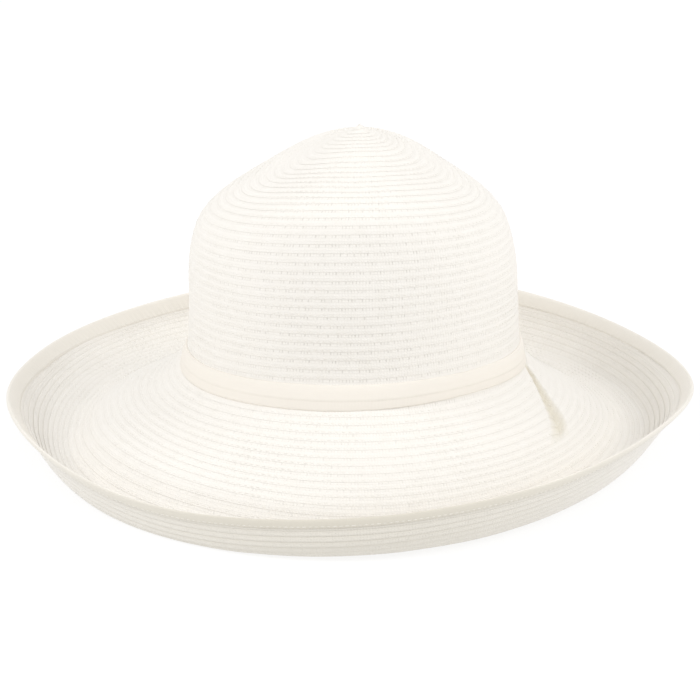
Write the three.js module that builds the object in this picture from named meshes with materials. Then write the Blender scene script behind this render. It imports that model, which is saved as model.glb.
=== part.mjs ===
// Sun hat of sewn straw braid: a deep crown and a wide brim turned up at its rim.
// Millimetres, +Z up, the front of the hat towards -Y.
// The origin is on the surface that the hat stands on, under the middle of its outline.
import * as THREE from 'three';
import { mergeVertices } from 'three/addons/utils/BufferGeometryUtils.js';

// Driving sizes
const crownHalfWidth = 86.5;       // from the middle to either side, just above the band
const crownHalfLength = 96;        // from the middle to the front and the back, just above the band
const tipHeight = 164;             // top of the crown above the lowest braid row
const footHeightSide = 37;         // where the crown meets the brim, at the sides
const footHeightFront = 47.5;      // the same at the front
const footHeightBack = 35.5;       // the same at the back
const footFlare = 3;               // how far the crown has widened at its foot, at the sides
const footFlareFront = 5;          // the same at the front
const footFlareBack = 4;           // the same at the back
const rimHalfWidth = 176;          // edge of the braid brim at the sides
const rimReachFront = 174.7;       // edge of the braid brim at the front
const rimReachBack = 170.7;        // edge of the braid brim at the back
const rimHeight = 22;              // mean height that the rim is turned up
const braidWall = 1.6;             // thickness of the sewn braid
const bandWidth = 13.5;            // hat band, from edge to edge
const bandWall = 1.5;
const bindingWidthInside = 8;      // strip over the rim, on the face that looks up
const bindingWidthOutside = 4.3;   // strip over the rim, on the face that looks down
const bindingWall = 1;
const seamAboveFoot = 6;           // height of the covered seam of crown and brim, in the band's middle
const clearance = 0.3;             // left between pieces that lie on each other
const creaseDepth = 4;             // the folded dent in the brim at the right
const twistHeight = 6;             // how far the rim is higher on the right and lower on the left
const tipLean = 3;                 // how far the tip leans to the right
const settle = 0.3;                // how far the lowest row is pressed thinner where it stands

// Braid rows, counted from the start of the spiral at the tip
const shoulderRow = 23;
const footRow = 42;
const rimRow = 67;

// The crown row by row: reach as a share of its half width and half length,
// height as a share of the way from its foot to its tip
const crownSections = [
  { row: 0, side: 0, front: 0, back: 0, upSide: 1, upFront: 1, upBack: 1 },
  { row: 4, side: 0.17, front: 0.175, back: 0.172, upSide: 0.945, upFront: 0.972, upBack: 0.96 },
  { row: 9, side: 0.365, front: 0.385, back: 0.383, upSide: 0.852, upFront: 0.927, upBack: 0.909 },
  { row: 14, side: 0.555, front: 0.60, back: 0.60, upSide: 0.78, upFront: 0.886, upBack: 0.854 },
  { row: 17, side: 0.69, front: 0.73, back: 0.71, upSide: 0.735, upFront: 0.855, upBack: 0.793 },
  { row: 20, side: 0.815, front: 0.83, back: 0.80, upSide: 0.687, upFront: 0.791, upBack: 0.716 },
  { row: 23, side: 0.905, front: 0.88, back: 0.865, upSide: 0.61, upFront: 0.687, upBack: 0.627 },
  { row: 28, side: 0.965, front: 0.93, back: 0.92, upSide: 0.458, upFront: 0.50, upBack: 0.461 },
  { row: 34, side: 0.985, front: 0.965, back: 0.96, upSide: 0.262, upFront: 0.28, upBack: 0.26 },
  { row: 39, side: 1, front: 1, back: 0.99, upSide: 0.098, upFront: 0.10, upBack: 0.09 },
];

// The brim row by row: reach as a share of the way from the crown's foot to the rim,
// height as a share of the foot's height plus a share of the rim's height
const brimSections = [
  { row: 42, side: 0, front: 0, back: 0, footSide: 1, footFront: 1, footBack: 1,
    rimSide: 0, rimFront: 0, rimBack: 0 },
  { row: 46, side: 0.15, front: 0.21, back: 0.145, footSide: 0.71, footFront: 0.775, footBack: 0.61,
    rimSide: 0, rimFront: 0, rimBack: 0 },
  { row: 50, side: 0.33, front: 0.405, back: 0.305, footSide: 0.50, footFront: 0.55, footBack: 0.26,
    rimSide: 0, rimFront: 0, rimBack: 0 },
  { row: 54, side: 0.49, front: 0.59, back: 0.52, footSide: 0.25, footFront: 0.30, footBack: 0.04,
    rimSide: 0, rimFront: 0, rimBack: 0 },
  { row: 57, side: 0.61, front: 0.72, back: 0.68, footSide: 0.02, footFront: 0.03, footBack: -0.02,
    rimSide: 0, rimFront: 0, rimBack: 0 },
  { row: 60, side: 0.735, front: 0.88, back: 0.84, footSide: 0, footFront: 0, footBack: 0,
    rimSide: -0.04, rimFront: -0.05, rimBack: 0 },
  { row: 63, side: 0.86, front: 1.02, back: 0.975, footSide: 0, footFront: 0, footBack: 0,
    rimSide: 0.29, rimFront: 0.25, rimBack: 0.49 },
  { row: 67, side: 1, front: 1, back: 1, footSide: 0, footFront: 0, footBack: 0,
    rimSide: 0.80, rimFront: 0.90, rimBack: 1.18 },
];

// Soft lifts and dents of the worn form: where they point (degrees from the front, the
// right side at 90), how far they spread, the rows from which and at which they are full,
// the row where they have faded again (null where they run on to the rim), their rise as a
// share of twistHeight, and their outward move as a share of rimHeight
const lifts = [
  { name: 'crown right', toward: 90, spread: 90, from: 0, full: 8, until: 46, rise: 0.3, out: 0 },
  { name: 'crown rear right', toward: 110, spread: 80, from: 2, full: 9, until: 19, rise: 0.4, out: 0 },
  { name: 'crown left', toward: 270, spread: 90, from: 30, full: 38, until: 46, rise: -0.33, out: 0 },
  { name: 'shoulder left', toward: 270, spread: 70, from: 18, full: 24, until: 36, rise: 0, out: 0.08 },
  { name: 'brim right', toward: 90, spread: 90, from: 44, full: 52, until: 58, rise: -0.4, out: 0 },
  { name: 'brim left', toward: 270, spread: 90, from: 44, full: 52, until: 58, rise: 0.33, out: 0 },
  { name: 'brim front left', toward: 315, spread: 60, from: 50, full: 56, until: 60, rise: 0.8, out: 0 },
  { name: 'belly left', toward: 315, spread: 65, from: 50, full: 59, until: 66, rise: 0, out: 0.33 },
  { name: 'belly right', toward: 48, spread: 55, from: 48, full: 60, until: null, rise: 0, out: -0.32 },
  { name: 'rim right', toward: 90, spread: 90, from: 59, full: 65, until: null, rise: 1, out: 0 },
  { name: 'rim left', toward: 270, spread: 90, from: 59, full: 64, until: null, rise: -0.9, out: 0 },
  { name: 'rim front right', toward: 52, spread: 50, from: 59, full: 66, until: null, rise: 0.4, out: 0 },
  { name: 'rim front', toward: 22, spread: 45, from: 59, full: 64, until: null, rise: 0.33, out: 0 },
  { name: 'rim front left', toward: 330, spread: 50, from: 59, full: 63, until: null, rise: -0.5, out: 0 },
  { name: 'rim back left', toward: 225, spread: 50, from: 61, full: 67, until: null, rise: -0.75, out: 0 },
  { name: 'brim back left', toward: 235, spread: 50, from: 52, full: 67, until: null, rise: 0, out: 0.55 },
  { name: 'rim rear', toward: 125, spread: 50, from: 60, full: 67, until: null, rise: -0.5, out: -0.14 },
  { name: 'rim left front', toward: 290, spread: 45, from: 59, full: 66, until: null, rise: 0.95, out: 0 },
  { name: 'rim right front', toward: 66, spread: 35, from: 59, full: 66, until: null, rise: 0.5, out: 0 },
  { name: 'rim left end', toward: 272, spread: 30, from: 62, full: 67, until: null, rise: 0, out: 0.08 },
  { name: 'rim right end', toward: 92, spread: 30, from: 62, full: 67, until: null, rise: 0, out: 0.08 },
];

// The folded dent runs outwards and forwards from the crown's foot
const crease = {
  fromRow: 42.6,
  fullRow: 44,
  fadeRow: 49,
  toRow: 53,
  fromDegrees: 83.5,
  toDegrees: 55,
  halfSpread: 5,
};

// Mesh stations
const wideStep = 7.5;
const creaseStep = 2.5;
const creaseZone = { from: 52.5, to: 97.5 };
const crownRows = [1.5, 4, 6.5, 9, 12, 15, 17.5, 19.5, 21.5, 23.5, 26, 29.5, 34];
const brimRows = [43.2, 44.6, 46, 48, 50, 52, 54, 56, 57.5, 58.5, 59.5, 61, 62.5, 63.8];

const looks = {
  braid: { color: 0xf4efe4, roughness: 0.9, metalness: 0 },
  band: { color: 0xf3ebdc, roughness: 0.8, metalness: 0 },
  binding: { color: 0xf1eadc, roughness: 0.8, metalness: 0 },
};

function smoothStep(value) {
  const t = Math.min(1, Math.max(0, value));
  return t * t * (3 - 2 * t);
}

// A smooth curve through one column of a table of sections
function along(sections, column, row) {
  const last = sections.length - 1;
  let index = 0;
  while (index < last - 1 && row > sections[index + 1].row) {
    index += 1;
  }
  const slopeAt = (i) => {
    const before = sections[Math.max(0, i - 1)];
    const after = sections[Math.min(last, i + 1)];
    return (after[column] - before[column]) / (after.row - before.row);
  };
  const start = sections[index];
  const end = sections[index + 1];
  const span = end.row - start.row;
  const t = (row - start.row) / span;
  const bend = t * t * (3 - 2 * t);
  return start[column] * (1 - bend) + end[column] * bend
    + span * slopeAt(index) * t * (1 - t) * (1 - t)
    - span * slopeAt(index + 1) * t * t * (1 - t);
}

const crownHeights = {
  side: { foot: footHeightSide, rise: tipHeight - footHeightSide },
  front: { foot: footHeightFront, rise: tipHeight - footHeightFront },
  back: { foot: footHeightBack, rise: tipHeight - footHeightBack },
};
const footReach = {
  side: crownHalfWidth + footFlare,
  front: crownHalfLength + footFlareFront,
  back: crownHalfLength + footFlareBack,
};
const crownFoot = {
  row: footRow,
  side: footReach.side / crownHalfWidth,
  front: footReach.front / crownHalfLength,
  back: footReach.back / crownHalfLength,
  upSide: 0,
  upFront: 0,
  upBack: 0,
};
const fullCrown = [...crownSections, crownFoot];

// Reach and height of one braid row at the sides, the front and the back
function ring(row) {
  if (row <= footRow) {
    const part = (column) => along(fullCrown, column, row);
    const height = (place, share) => crownHeights[place].foot + crownHeights[place].rise * share;
    return {
      side: { reach: crownHalfWidth * part('side'), height: height('side', part('upSide')) },
      front: { reach: crownHalfLength * part('front'), height: height('front', part('upFront')) },
      back: { reach: crownHalfLength * part('back'), height: height('back', part('upBack')) },
    };
  }
  const part = (column) => along(brimSections, column, row);
  const between = (inner, outer, share) => inner + (outer - inner) * share;
  return {
    side: {
      reach: between(footReach.side, rimHalfWidth, part('side')),
      height: footHeightSide * part('footSide') + rimHeight * part('rimSide'),
    },
    front: {
      reach: between(footReach.front, rimReachFront, part('front')),
      height: footHeightFront * part('footFront') + rimHeight * part('rimFront'),
    },
    back: {
      reach: between(footReach.back, rimReachBack, part('back')),
      height: footHeightBack * part('footBack') + rimHeight * part('rimBack'),
    },
  };
}

// How much of a lift is felt at a row and a direction
function liftWeight(lift, row, degrees) {
  const off = ((degrees - lift.toward + 540) % 360) - 180;
  if (Math.abs(off) >= lift.spread) {
    return 0;
  }
  const sideways = 0.5 + 0.5 * Math.cos((off / lift.spread) * Math.PI);
  const rising = smoothStep((row - lift.from) / (lift.full - lift.from));
  const fading = lift.until === null ? 1 : 1 - smoothStep((row - lift.full) / (lift.until - lift.full));
  return sideways * rising * fading;
}

// Height over the surface, eased to the pressed depth of the standing row instead of passing it
function settled(height) {
  const easing = 3 * settle;
  const above = height + settle;
  if (above >= easing) {
    return height;
  }
  return above <= -easing ? -settle : ((above + easing) ** 2) / (4 * easing) - settle;
}

// Depth of the folded dent at a row and a direction
function creaseAt(row, degrees) {
  if (row <= crease.fromRow || row >= crease.toRow) {
    return 0;
  }
  const way = (row - crease.fromRow) / (crease.toRow - crease.fromRow);
  const middle = crease.fromDegrees + (crease.toDegrees - crease.fromDegrees) * way;
  const off = Math.abs(degrees - middle) / crease.halfSpread;
  if (off >= 1) {
    return 0;
  }
  const lengthwise = smoothStep((row - crease.fromRow) / (crease.fullRow - crease.fromRow))
    * (1 - smoothStep((row - crease.fadeRow) / (crease.toRow - crease.fadeRow)));
  return creaseDepth * lengthwise * (1 - off) * (1 - off);
}

// A point of the hat's upper and outer face
function facePoint(row, degrees) {
  const angle = THREE.MathUtils.degToRad(degrees);
  const across = Math.sin(angle);
  const forward = Math.cos(angle);
  const { side, front, back } = ring(row);
  const lengthways = (front.reach + back.reach) / 2 + ((front.reach - back.reach) / 2) * forward;
  let height = side.height + ((front.height + back.height) / 2 - side.height) * forward * forward
    + ((front.height - back.height) / 2) * forward;
  let out = 0;
  for (const lift of lifts) {
    const weight = liftWeight(lift, row, degrees);
    height += weight * lift.rise * twistHeight;
    out += weight * lift.out * rimHeight;
  }
  return new THREE.Vector3(
    (side.reach + out) * across + tipLean * (1 - smoothStep(row / shoulderRow)),
    -(lengthways + out) * forward,
    settled(height - creaseAt(row, degrees)) + braidWall,
  );
}

// Directions at a point of that face: along the braid's count outwards, and out of the face
function faceDirections(row, degrees) {
  const step = 0.02;
  const low = Math.max(row, step) - step;
  const high = Math.min(row, rimRow - step) + step;
  const onwards = facePoint(high, degrees).sub(facePoint(low, degrees)).normalize();
  const around = facePoint(Math.max(row, step), degrees + step)
    .sub(facePoint(Math.max(row, step), degrees - step));
  const normal = new THREE.Vector3().crossVectors(onwards, around).normalize();
  return { onwards, normal };
}

// A point moved off the face, and moved on along it
function offFace(row, degrees, off, on = 0) {
  const { onwards, normal } = faceDirections(row, degrees);
  return facePoint(row, degrees).addScaledVector(normal, off).addScaledVector(onwards, on);
}

// The underside of the braid, flat where it stands on the surface
function underside(row, degrees, on = 0) {
  const point = offFace(row, degrees, -braidWall, on);
  point.z = Math.max(0, point.z);
  return point;
}

const directions = [];
let bearing = 0;
while (bearing < 360) {
  directions.push(bearing);
  const fine = bearing >= creaseZone.from && bearing < creaseZone.to;
  bearing += fine ? creaseStep : wideStep;
}

// Mean width of a braid row, along the front
let frontLength = 0;
for (let row = 0; row < rimRow; row += 1) {
  frontLength += facePoint(row, 0).distanceTo(facePoint(row + 1, 0));
}
const rowWidth = frontLength / rimRow;

const seamRow = footRow - seamAboveFoot / rowWidth;
const bandTopRow = seamRow - bandWidth / rowWidth / 2;
const bandFootRow = seamRow + bandWidth / rowWidth / 2;
const bandQuarter = (bandFootRow - bandTopRow) / 4;
const bindingInsideRow = rimRow - bindingWidthInside / rowWidth;
const bindingOutsideRow = rimRow - bindingWidthOutside / rowWidth;
const bindingLastRow = (bindingOutsideRow + rimRow) / 2;

// Closed body from loops that follow each other, with one point per direction. In a closed
// body the last loop is joined to the first; otherwise the first and the last are single points.
function bodyFromLoops(loops, closed) {
  const count = directions.length;
  const positions = [];
  const corner = (loop, i) => (Array.isArray(loop) ? loop[i % count] : loop);
  const face = (a, b, c) => {
    for (const point of [a, b, c]) {
      positions.push(point.x, point.y, point.z);
    }
  };
  const pairs = closed ? loops.length : loops.length - 1;
  for (let k = 0; k < pairs; k += 1) {
    const upper = loops[k];
    const lower = loops[(k + 1) % loops.length];
    for (let i = 0; i < count; i += 1) {
      if (Array.isArray(lower)) {
        face(corner(upper, i), corner(lower, i), corner(lower, i + 1));
      }
      if (Array.isArray(upper)) {
        face(corner(upper, i), corner(lower, i + 1), corner(upper, i + 1));
      }
    }
  }
  const geometry = new THREE.BufferGeometry();
  geometry.setAttribute('position', new THREE.Float32BufferAttribute(positions, 3));
  const merged = mergeVertices(geometry, 1e-4);
  merged.computeVertexNormals();
  return merged;
}

function loop(pointAt) {
  return directions.map((degrees) => pointAt(degrees));
}

function piece(name, geometry, look) {
  const mesh = new THREE.Mesh(geometry, new THREE.MeshStandardMaterial(look));
  mesh.name = name;
  return mesh;
}

// Crown, from the tip to the seam under the band
function crown() {
  const tip = facePoint(0, 0);
  const innerTip = tip.clone().setZ(tip.z - braidWall);
  const rows = [...crownRows, bandTopRow, bandTopRow + bandQuarter];
  const outer = rows.map((row) => loop((degrees) => facePoint(row, degrees)));
  outer.push(loop((degrees) => offFace(seamRow, degrees, 0, -clearance / 2)));
  const inner = [...rows].reverse().map((row) => loop((degrees) => underside(row, degrees)));
  inner.unshift(loop((degrees) => underside(seamRow, degrees, -clearance / 2)));
  return piece('crown', bodyFromLoops([tip, ...outer, ...inner, innerTip], false), looks.braid);
}

// Brim, from the seam under the band out to the rim under the binding
function brim() {
  const rows = [seamRow + bandQuarter, bandFootRow, ...brimRows,
    bindingInsideRow, bindingOutsideRow, bindingLastRow, rimRow];
  const upper = rows.map((row) => loop((degrees) => facePoint(row, degrees)));
  upper.unshift(loop((degrees) => offFace(seamRow, degrees, 0, clearance / 2)));
  const lower = [...rows].reverse().map((row) => loop((degrees) => underside(row, degrees)));
  lower.push(loop((degrees) => underside(seamRow, degrees, clearance / 2)));
  return piece('brim', bodyFromLoops([...upper, ...lower], true), looks.braid);
}

// Flat band laid round the foot of the crown, over the seam
function hatBand() {
  const rows = [bandTopRow, bandTopRow + bandQuarter, seamRow, seamRow + bandQuarter, bandFootRow];
  const outer = rows.map((row) => loop((degrees) => offFace(row, degrees, clearance + bandWall)));
  const inner = [...rows].reverse().map((row) => loop((degrees) => offFace(row, degrees, clearance)));
  return piece('hat_band', bodyFromLoops([...outer, ...inner], true), looks.band);
}

// Plain strip folded over the rim
function edgeBinding() {
  const fold = clearance + bindingWall;
  const upper = { near: clearance, far: fold };
  const lower = { near: -braidWall - clearance, far: -braidWall - fold };
  const section = [
    { row: bindingInsideRow, off: upper.far, on: 0 },
    { row: bindingOutsideRow, off: upper.far, on: 0 },
    { row: bindingLastRow, off: upper.far, on: 0 },
    { row: rimRow, off: upper.far, on: 0 },
    { row: rimRow, off: -braidWall / 2, on: fold },
    { row: rimRow, off: lower.far, on: 0 },
    { row: bindingLastRow, off: lower.far, on: 0 },
    { row: bindingOutsideRow, off: lower.far, on: 0 },
    { row: bindingOutsideRow, off: lower.near, on: 0 },
    { row: bindingLastRow, off: lower.near, on: 0 },
    { row: rimRow, off: lower.near, on: clearance },
    { row: rimRow, off: upper.near, on: clearance },
    { row: bindingLastRow, off: upper.near, on: 0 },
    { row: bindingOutsideRow, off: upper.near, on: 0 },
    { row: bindingInsideRow, off: upper.near, on: 0 },
  ];
  const loops = section.map(({ row, off, on }) => loop((degrees) => offFace(row, degrees, off, on)));
  return piece('edge_binding', bodyFromLoops(loops, true), looks.binding);
}

const hat = new THREE.Group();
hat.name = 'sun_hat';
hat.add(crown(), brim(), hatBand(), edgeBinding());

// The origin under the middle of the outline
const outlineMiddle = new THREE.Box3().setFromObject(hat).getCenter(new THREE.Vector3());
hat.position.set(-outlineMiddle.x, -outlineMiddle.y, 0);

export default hat;
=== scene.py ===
"""Sun hat of sewn straw braid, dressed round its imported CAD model.

The braid is one strip that winds outwards from the tip. Each turn lies partly under the turn
before it, and a run of stitches holds the two together. A plain band covers the foot of the
crown, and a plain strip is folded over the rim.
"""

import math

import bpy
import numpy as np
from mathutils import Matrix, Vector


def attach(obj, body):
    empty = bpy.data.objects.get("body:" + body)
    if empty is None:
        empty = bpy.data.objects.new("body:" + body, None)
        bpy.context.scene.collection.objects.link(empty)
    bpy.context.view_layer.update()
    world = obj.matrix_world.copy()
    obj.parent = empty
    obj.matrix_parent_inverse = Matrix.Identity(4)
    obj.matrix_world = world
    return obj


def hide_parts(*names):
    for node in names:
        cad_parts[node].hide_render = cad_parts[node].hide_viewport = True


bl_info = {
    "name": "Sewn Braid Sun Hat",
    "version": (1, 0, 0),
    "blender": (4, 5, 0),
    "location": "View3D > Sidebar > Sun Hat",
    "description": "Sews the braid, band and binding of a sun hat round its frame",
    "category": "Object",
}

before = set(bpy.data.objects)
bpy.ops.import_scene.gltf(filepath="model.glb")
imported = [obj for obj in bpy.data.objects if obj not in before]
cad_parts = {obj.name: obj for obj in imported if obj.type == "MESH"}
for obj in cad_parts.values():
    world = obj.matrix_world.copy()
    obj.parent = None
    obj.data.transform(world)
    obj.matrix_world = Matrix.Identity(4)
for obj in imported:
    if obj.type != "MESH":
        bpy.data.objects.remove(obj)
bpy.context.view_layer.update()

MM = 0.001

# Form of the hat in millimetres: crown, foot of the crown and rim
CROWN_HALF_WIDTH = 86.5
CROWN_HALF_LENGTH = 96.0
TIP_HEIGHT = 164.0
FOOT_HEIGHT = {"side": 37.0, "front": 47.5, "back": 35.5}
FOOT_REACH = {"side": 89.5, "front": 101.0, "back": 100.0}
RIM_REACH = {"side": 176.0, "front": 174.7, "back": 170.7}
RIM_HEIGHT = 22.0
TWIST_HEIGHT = 6.0
TIP_LEAN = 3.0
SETTLE = 0.3
WALL = 1.6
CREASE_DEPTH = 4.0

# Braid rows, counted from the start of the spiral at the tip
SHOULDER_ROW = 23
FOOT_ROW = 42
RIM_ROW = 67

# The crown row by row: reach as a share of its half width and half length,
# height as a share of the way from its foot to its tip
CROWN_COLUMNS = ("row", "side", "front", "back", "up_side", "up_front", "up_back")
CROWN_SECTIONS = (
    (0, 0, 0, 0, 1, 1, 1),
    (4, 0.17, 0.175, 0.172, 0.945, 0.972, 0.96),
    (9, 0.365, 0.385, 0.383, 0.852, 0.927, 0.909),
    (14, 0.555, 0.60, 0.60, 0.78, 0.886, 0.854),
    (17, 0.69, 0.73, 0.71, 0.735, 0.855, 0.793),
    (20, 0.815, 0.83, 0.80, 0.687, 0.791, 0.716),
    (23, 0.905, 0.88, 0.865, 0.61, 0.687, 0.627),
    (28, 0.965, 0.93, 0.92, 0.458, 0.50, 0.461),
    (34, 0.985, 0.965, 0.96, 0.262, 0.28, 0.26),
    (39, 1, 1, 0.99, 0.098, 0.10, 0.09),
    (
        FOOT_ROW,
        FOOT_REACH["side"] / CROWN_HALF_WIDTH,
        FOOT_REACH["front"] / CROWN_HALF_LENGTH,
        FOOT_REACH["back"] / CROWN_HALF_LENGTH,
        0,
        0,
        0,
    ),
)

# The brim row by row: reach as a share of the way from the crown's foot to the rim,
# height as a share of the foot's height plus a share of the rim's height
BRIM_COLUMNS = (
    "row", "side", "front", "back", "foot_side", "foot_front", "foot_back",
    "rim_side", "rim_front", "rim_back",
)
BRIM_SECTIONS = (
    (42, 0, 0, 0, 1, 1, 1, 0, 0, 0),
    (46, 0.15, 0.21, 0.145, 0.71, 0.775, 0.61, 0, 0, 0),
    (50, 0.33, 0.405, 0.305, 0.50, 0.55, 0.26, 0, 0, 0),
    (54, 0.49, 0.59, 0.52, 0.25, 0.30, 0.04, 0, 0, 0),
    (57, 0.61, 0.72, 0.68, 0.02, 0.03, -0.02, 0, 0, 0),
    (60, 0.735, 0.88, 0.84, 0, 0, 0, -0.04, -0.05, 0),
    (63, 0.86, 1.02, 0.975, 0, 0, 0, 0.29, 0.25, 0.49),
    (67, 1, 1, 1, 0, 0, 0, 0.80, 0.90, 1.18),
)

# Soft lifts and dents of the worn form: where they point in degrees from the front, the right
# side at 90, how far they spread, the rows from which and at which they are full, the row
# where they have faded again (None where they run on to the rim), their rise as a share of
# TWIST_HEIGHT, and their outward move as a share of RIM_HEIGHT
LIFT_COLUMNS = ("toward", "spread", "start", "full", "end", "rise", "out")
LIFTS = (
    (90, 90, 0, 8, 46, 0.3, 0),
    (110, 80, 2, 9, 19, 0.4, 0),
    (270, 90, 30, 38, 46, -0.33, 0),
    (270, 70, 18, 24, 36, 0, 0.08),
    (90, 90, 44, 52, 58, -0.4, 0),
    (270, 90, 44, 52, 58, 0.33, 0),
    (315, 60, 50, 56, 60, 0.8, 0),
    (315, 65, 50, 59, 66, 0, 0.33),
    (48, 55, 48, 60, None, 0, -0.32),
    (90, 90, 59, 65, None, 1, 0),
    (270, 90, 59, 64, None, -0.9, 0),
    (52, 50, 59, 66, None, 0.4, 0),
    (22, 45, 59, 64, None, 0.33, 0),
    (330, 50, 59, 63, None, -0.5, 0),
    (225, 50, 61, 67, None, -0.75, 0),
    (235, 50, 52, 67, None, 0, 0.55),
    (125, 50, 60, 67, None, -0.5, -0.14),
    (290, 45, 59, 66, None, 0.95, 0),
    (66, 35, 59, 66, None, 0.5, 0),
    (272, 30, 62, 67, None, 0, 0.08),
    (92, 30, 62, 67, None, 0, 0.08),
)

# The folded dent runs outwards and forwards from the crown's foot, and opens on its way
CREASE_ROWS = {"start": 41.2, "full": 42.4, "fade": 49.0, "end": 51.4}
CREASE_DEGREES = {"start": 87.4, "end": 59.4}
CREASE_HALF_SPREAD = {"start": 1.8, "end": 5.4}
CREASE_SHARPNESS = 1.0

# Step in rows and in degrees over which the face's directions are measured
DIRECTION_STEP = 0.02

# The braid's folded start stands proud of the tip
KNOB_ROWS = 1.5
KNOB_HEIGHT = 1.3

# Section of the braid strip: share of the way from its hidden edge to its open edge, and
# height over the hat's outer face in millimetres
BRAID_LAP = 0.45
BRAID_SECTION = (
    (0.000, -0.98),
    (0.034, -0.80),
    (0.207, -0.54),
    (0.310, -0.41),
    (0.450, -0.28),
    (0.620, -0.15),
    (0.800, -0.04),
    (0.940, 0.02),
    (0.985, -0.04),
    (1.000, -0.20),
    (0.975, -0.42),
    (0.724, -0.96),
    (0.448, -1.07),
    (0.207, -1.15),
    (0.062, -1.18),
)
BRAID_JOIN_TURN = 38.2
BRAID_FIRST_TURN = -0.75
BRAID_LAST_TURN = 67.9
STITCH_SHARE = 0.87

# Points of the section below this height are the smooth underside, which keeps its thickness
# where the laps are lower
BRAID_UNDERSIDE = -0.6

# Sections of the braid in one turn, from these turns on, and the closer ones in the folded dent
BRAID_STEPS = ((BRAID_FIRST_TURN, 72), (8, 120), (25, 165))
CREASE_STEPS = 620
CREASE_STEP_DEGREES = (50.0, 96.0)
CREASE_STEP_TURNS = (CREASE_ROWS["start"] - 3.0, CREASE_ROWS["end"])

# Rows of the hat's face that the braid has reached at the front after these turns; the braid
# near the rim is narrower, so its turns lie closer there
TURN_ROWS = (
    (0, 0),
    (7, 6.0),
    (11, 10.8),
    (15, 15.3),
    (19, 19.5),
    (27, 27.75),
    (35, 36.1),
    (41, 42.8),
    (46, 48.1),
    (49, 51.2),
    (52, 54.1),
    (56, 58.0),
    (68.5, 67.0),
)

# Where the turns have drifted inwards or outwards: where the drift points, how far it spreads,
# the turns from which and at which it is full and where it has faded, and its size in rows
DRIFT_COLUMNS = ("toward", "spread", "start", "full", "end", "rows")
DRIFTS = (
    (45, 50, 6, 14, 19, -0.8),
    (315, 50, 6, 14, 19, -0.7),
    (305, 60, 18, 26, 38, 0.3),
    (45, 50, 24, 35, 41, -0.45),
)

# How the laps look, row by row: their height as a share of the section's, the depth of the
# painted shade beside them and in the gaps of the plait, at the front and at the sides
LAP_COLUMNS = ("row", "step", "lap_front", "lap_side", "gaps_front", "gaps_side")
LAPS = (
    (0, 0.40, 0.35, 0.25, 0.0, 0.0),
    (12, 0.40, 0.4, 0.3, 0.1, 0.0),
    (18, 0.45, 0.6, 0.4, 0.7, 0.1),
    (23, 0.45, 0.75, 0.5, 1.0, 0.25),
    (38, 0.45, 0.75, 0.5, 1.0, 0.25),
    (43, 0.35, 0.8, 0.9, 0.35, 0.0),
    (55, 0.30, 0.6, 1.0, 0.3, 0.0),
    (57, 0.30, 0.6, 1.5, 0.1, 0.0),
    (60, 0.35, 0.7, 2.8, 0.1, 0.0),
    (63, 0.80, 1.6, 3.0, 0.1, 0.0),
    (64, 0.95, 1.9, 3.0, 0.1, 0.0),
    (65, 0.45, 1.0, 1.0, 0.0, 0.0),
    (67, 0.45, 1.0, 1.0, 0.0, 0.0),
)

# Values that the braid's points keep for its material: which points are on the underside, and
# how deep the painted shade is beside the laps, in the gaps, in the folded dent and on the underside
BRAID_MARKS = ("lap_painted_shade_depth", "gap_painted_shade_depth", "fold", "under", "under_painted_shade_weight")

# How much of the painted shade on the underside is left at the sides and the back
UNDER_PAINTED_SHADE_SIDE = 0.12

# Ribs of the braid: their rise as a share of its relief, and the valleys between its columns
RIB_RISE = 0.65
RIB_VALLEY_SHARPNESS = 4.0

# Gaps in the plait, sunk in the relief and darkened with painted shade: half length as a share
# of their pitch, half width as a share of the braid's width, where they fade in as a share of
# that size, and the patches that have them
GAP_HALF_LENGTH = 0.30
GAP_HALF_WIDTH = 0.15
GAP_EDGE = (1.0, 0.35)
GAP_PATCHES_PER_METRE = 90.0
GAP_PATCH_LEVELS = (0.40, 0.62)

# Where the painted shade of a lap begins and is full, as shares of the braid's width: near the
# lap, beyond it, and on the underside
LAP_NEAR = (0.42, 0.31)
LAP_BEYOND = (0.85, 0.31)
LAP_BEYOND_WEIGHT = 0.25
LAP_BELOW = (0.48, 0.68)

# Finish of the braid: its slow changes of tone, its gloss and its relief
TONES_PER_METRE = 22.0
BRAID_ROUGHNESS = (0.70, 0.55)
BRAID_SHEEN = 0.08
BRAID_RELIEF = {"Strength": 0.7, "Distance": 0.0002}

# Finish of the band, the binding and the threads, and how the stitches vary in size
CLOTH_ROUGHNESS = 0.75
CLOTH_SHEEN = 0.15
CLOTH_RELIEF = {"Strength": 0.45, "Distance": 0.00012}
SLUBS_PER_METRE = 60.0
THREAD_ROUGHNESS = 0.5
THREAD_GRAINS_PER_METRE = 900.0
THREAD_DARKENING = 0.9
STITCH_SIZE_SPREAD = (0.82, 1.12)
SPECULAR_LEVEL = 0.25

# Section of the hat band, from its upper to its lower edge, with a folded pleat
BAND_ROWS = (39.03, 42.17)
BAND_LIFTS = (-0.45, -0.85)
BAND_LIFT_TOWARD = 48.0
BAND_LIFT_SPREAD = 60.0
BAND_SECTION = (
    (0.00, -0.20),
    (0.010, 0.45),
    (0.04, 0.72),
    (0.30, 0.86),
    (0.55, 0.88),
    (0.640, 0.88),
    (0.652, 0.74),
    (0.68, 0.70),
    (0.94, 0.64),
    (0.988, 0.42),
    (1.00, -0.20),
    (0.93, -0.20),
    (0.50, 0.10),
    (0.07, -0.20),
)
BAND_JOIN_DEGREES = 204.0
BAND_OVERLAP_DEGREES = 9.0
BAND_OVERLAP_LIFT = 1.3
BAND_STEP_DEGREES = 1.5
BAND_PITCHES = (0.0007, 0.0005)
BAND_UNEVENNESS = 0.0005

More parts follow.
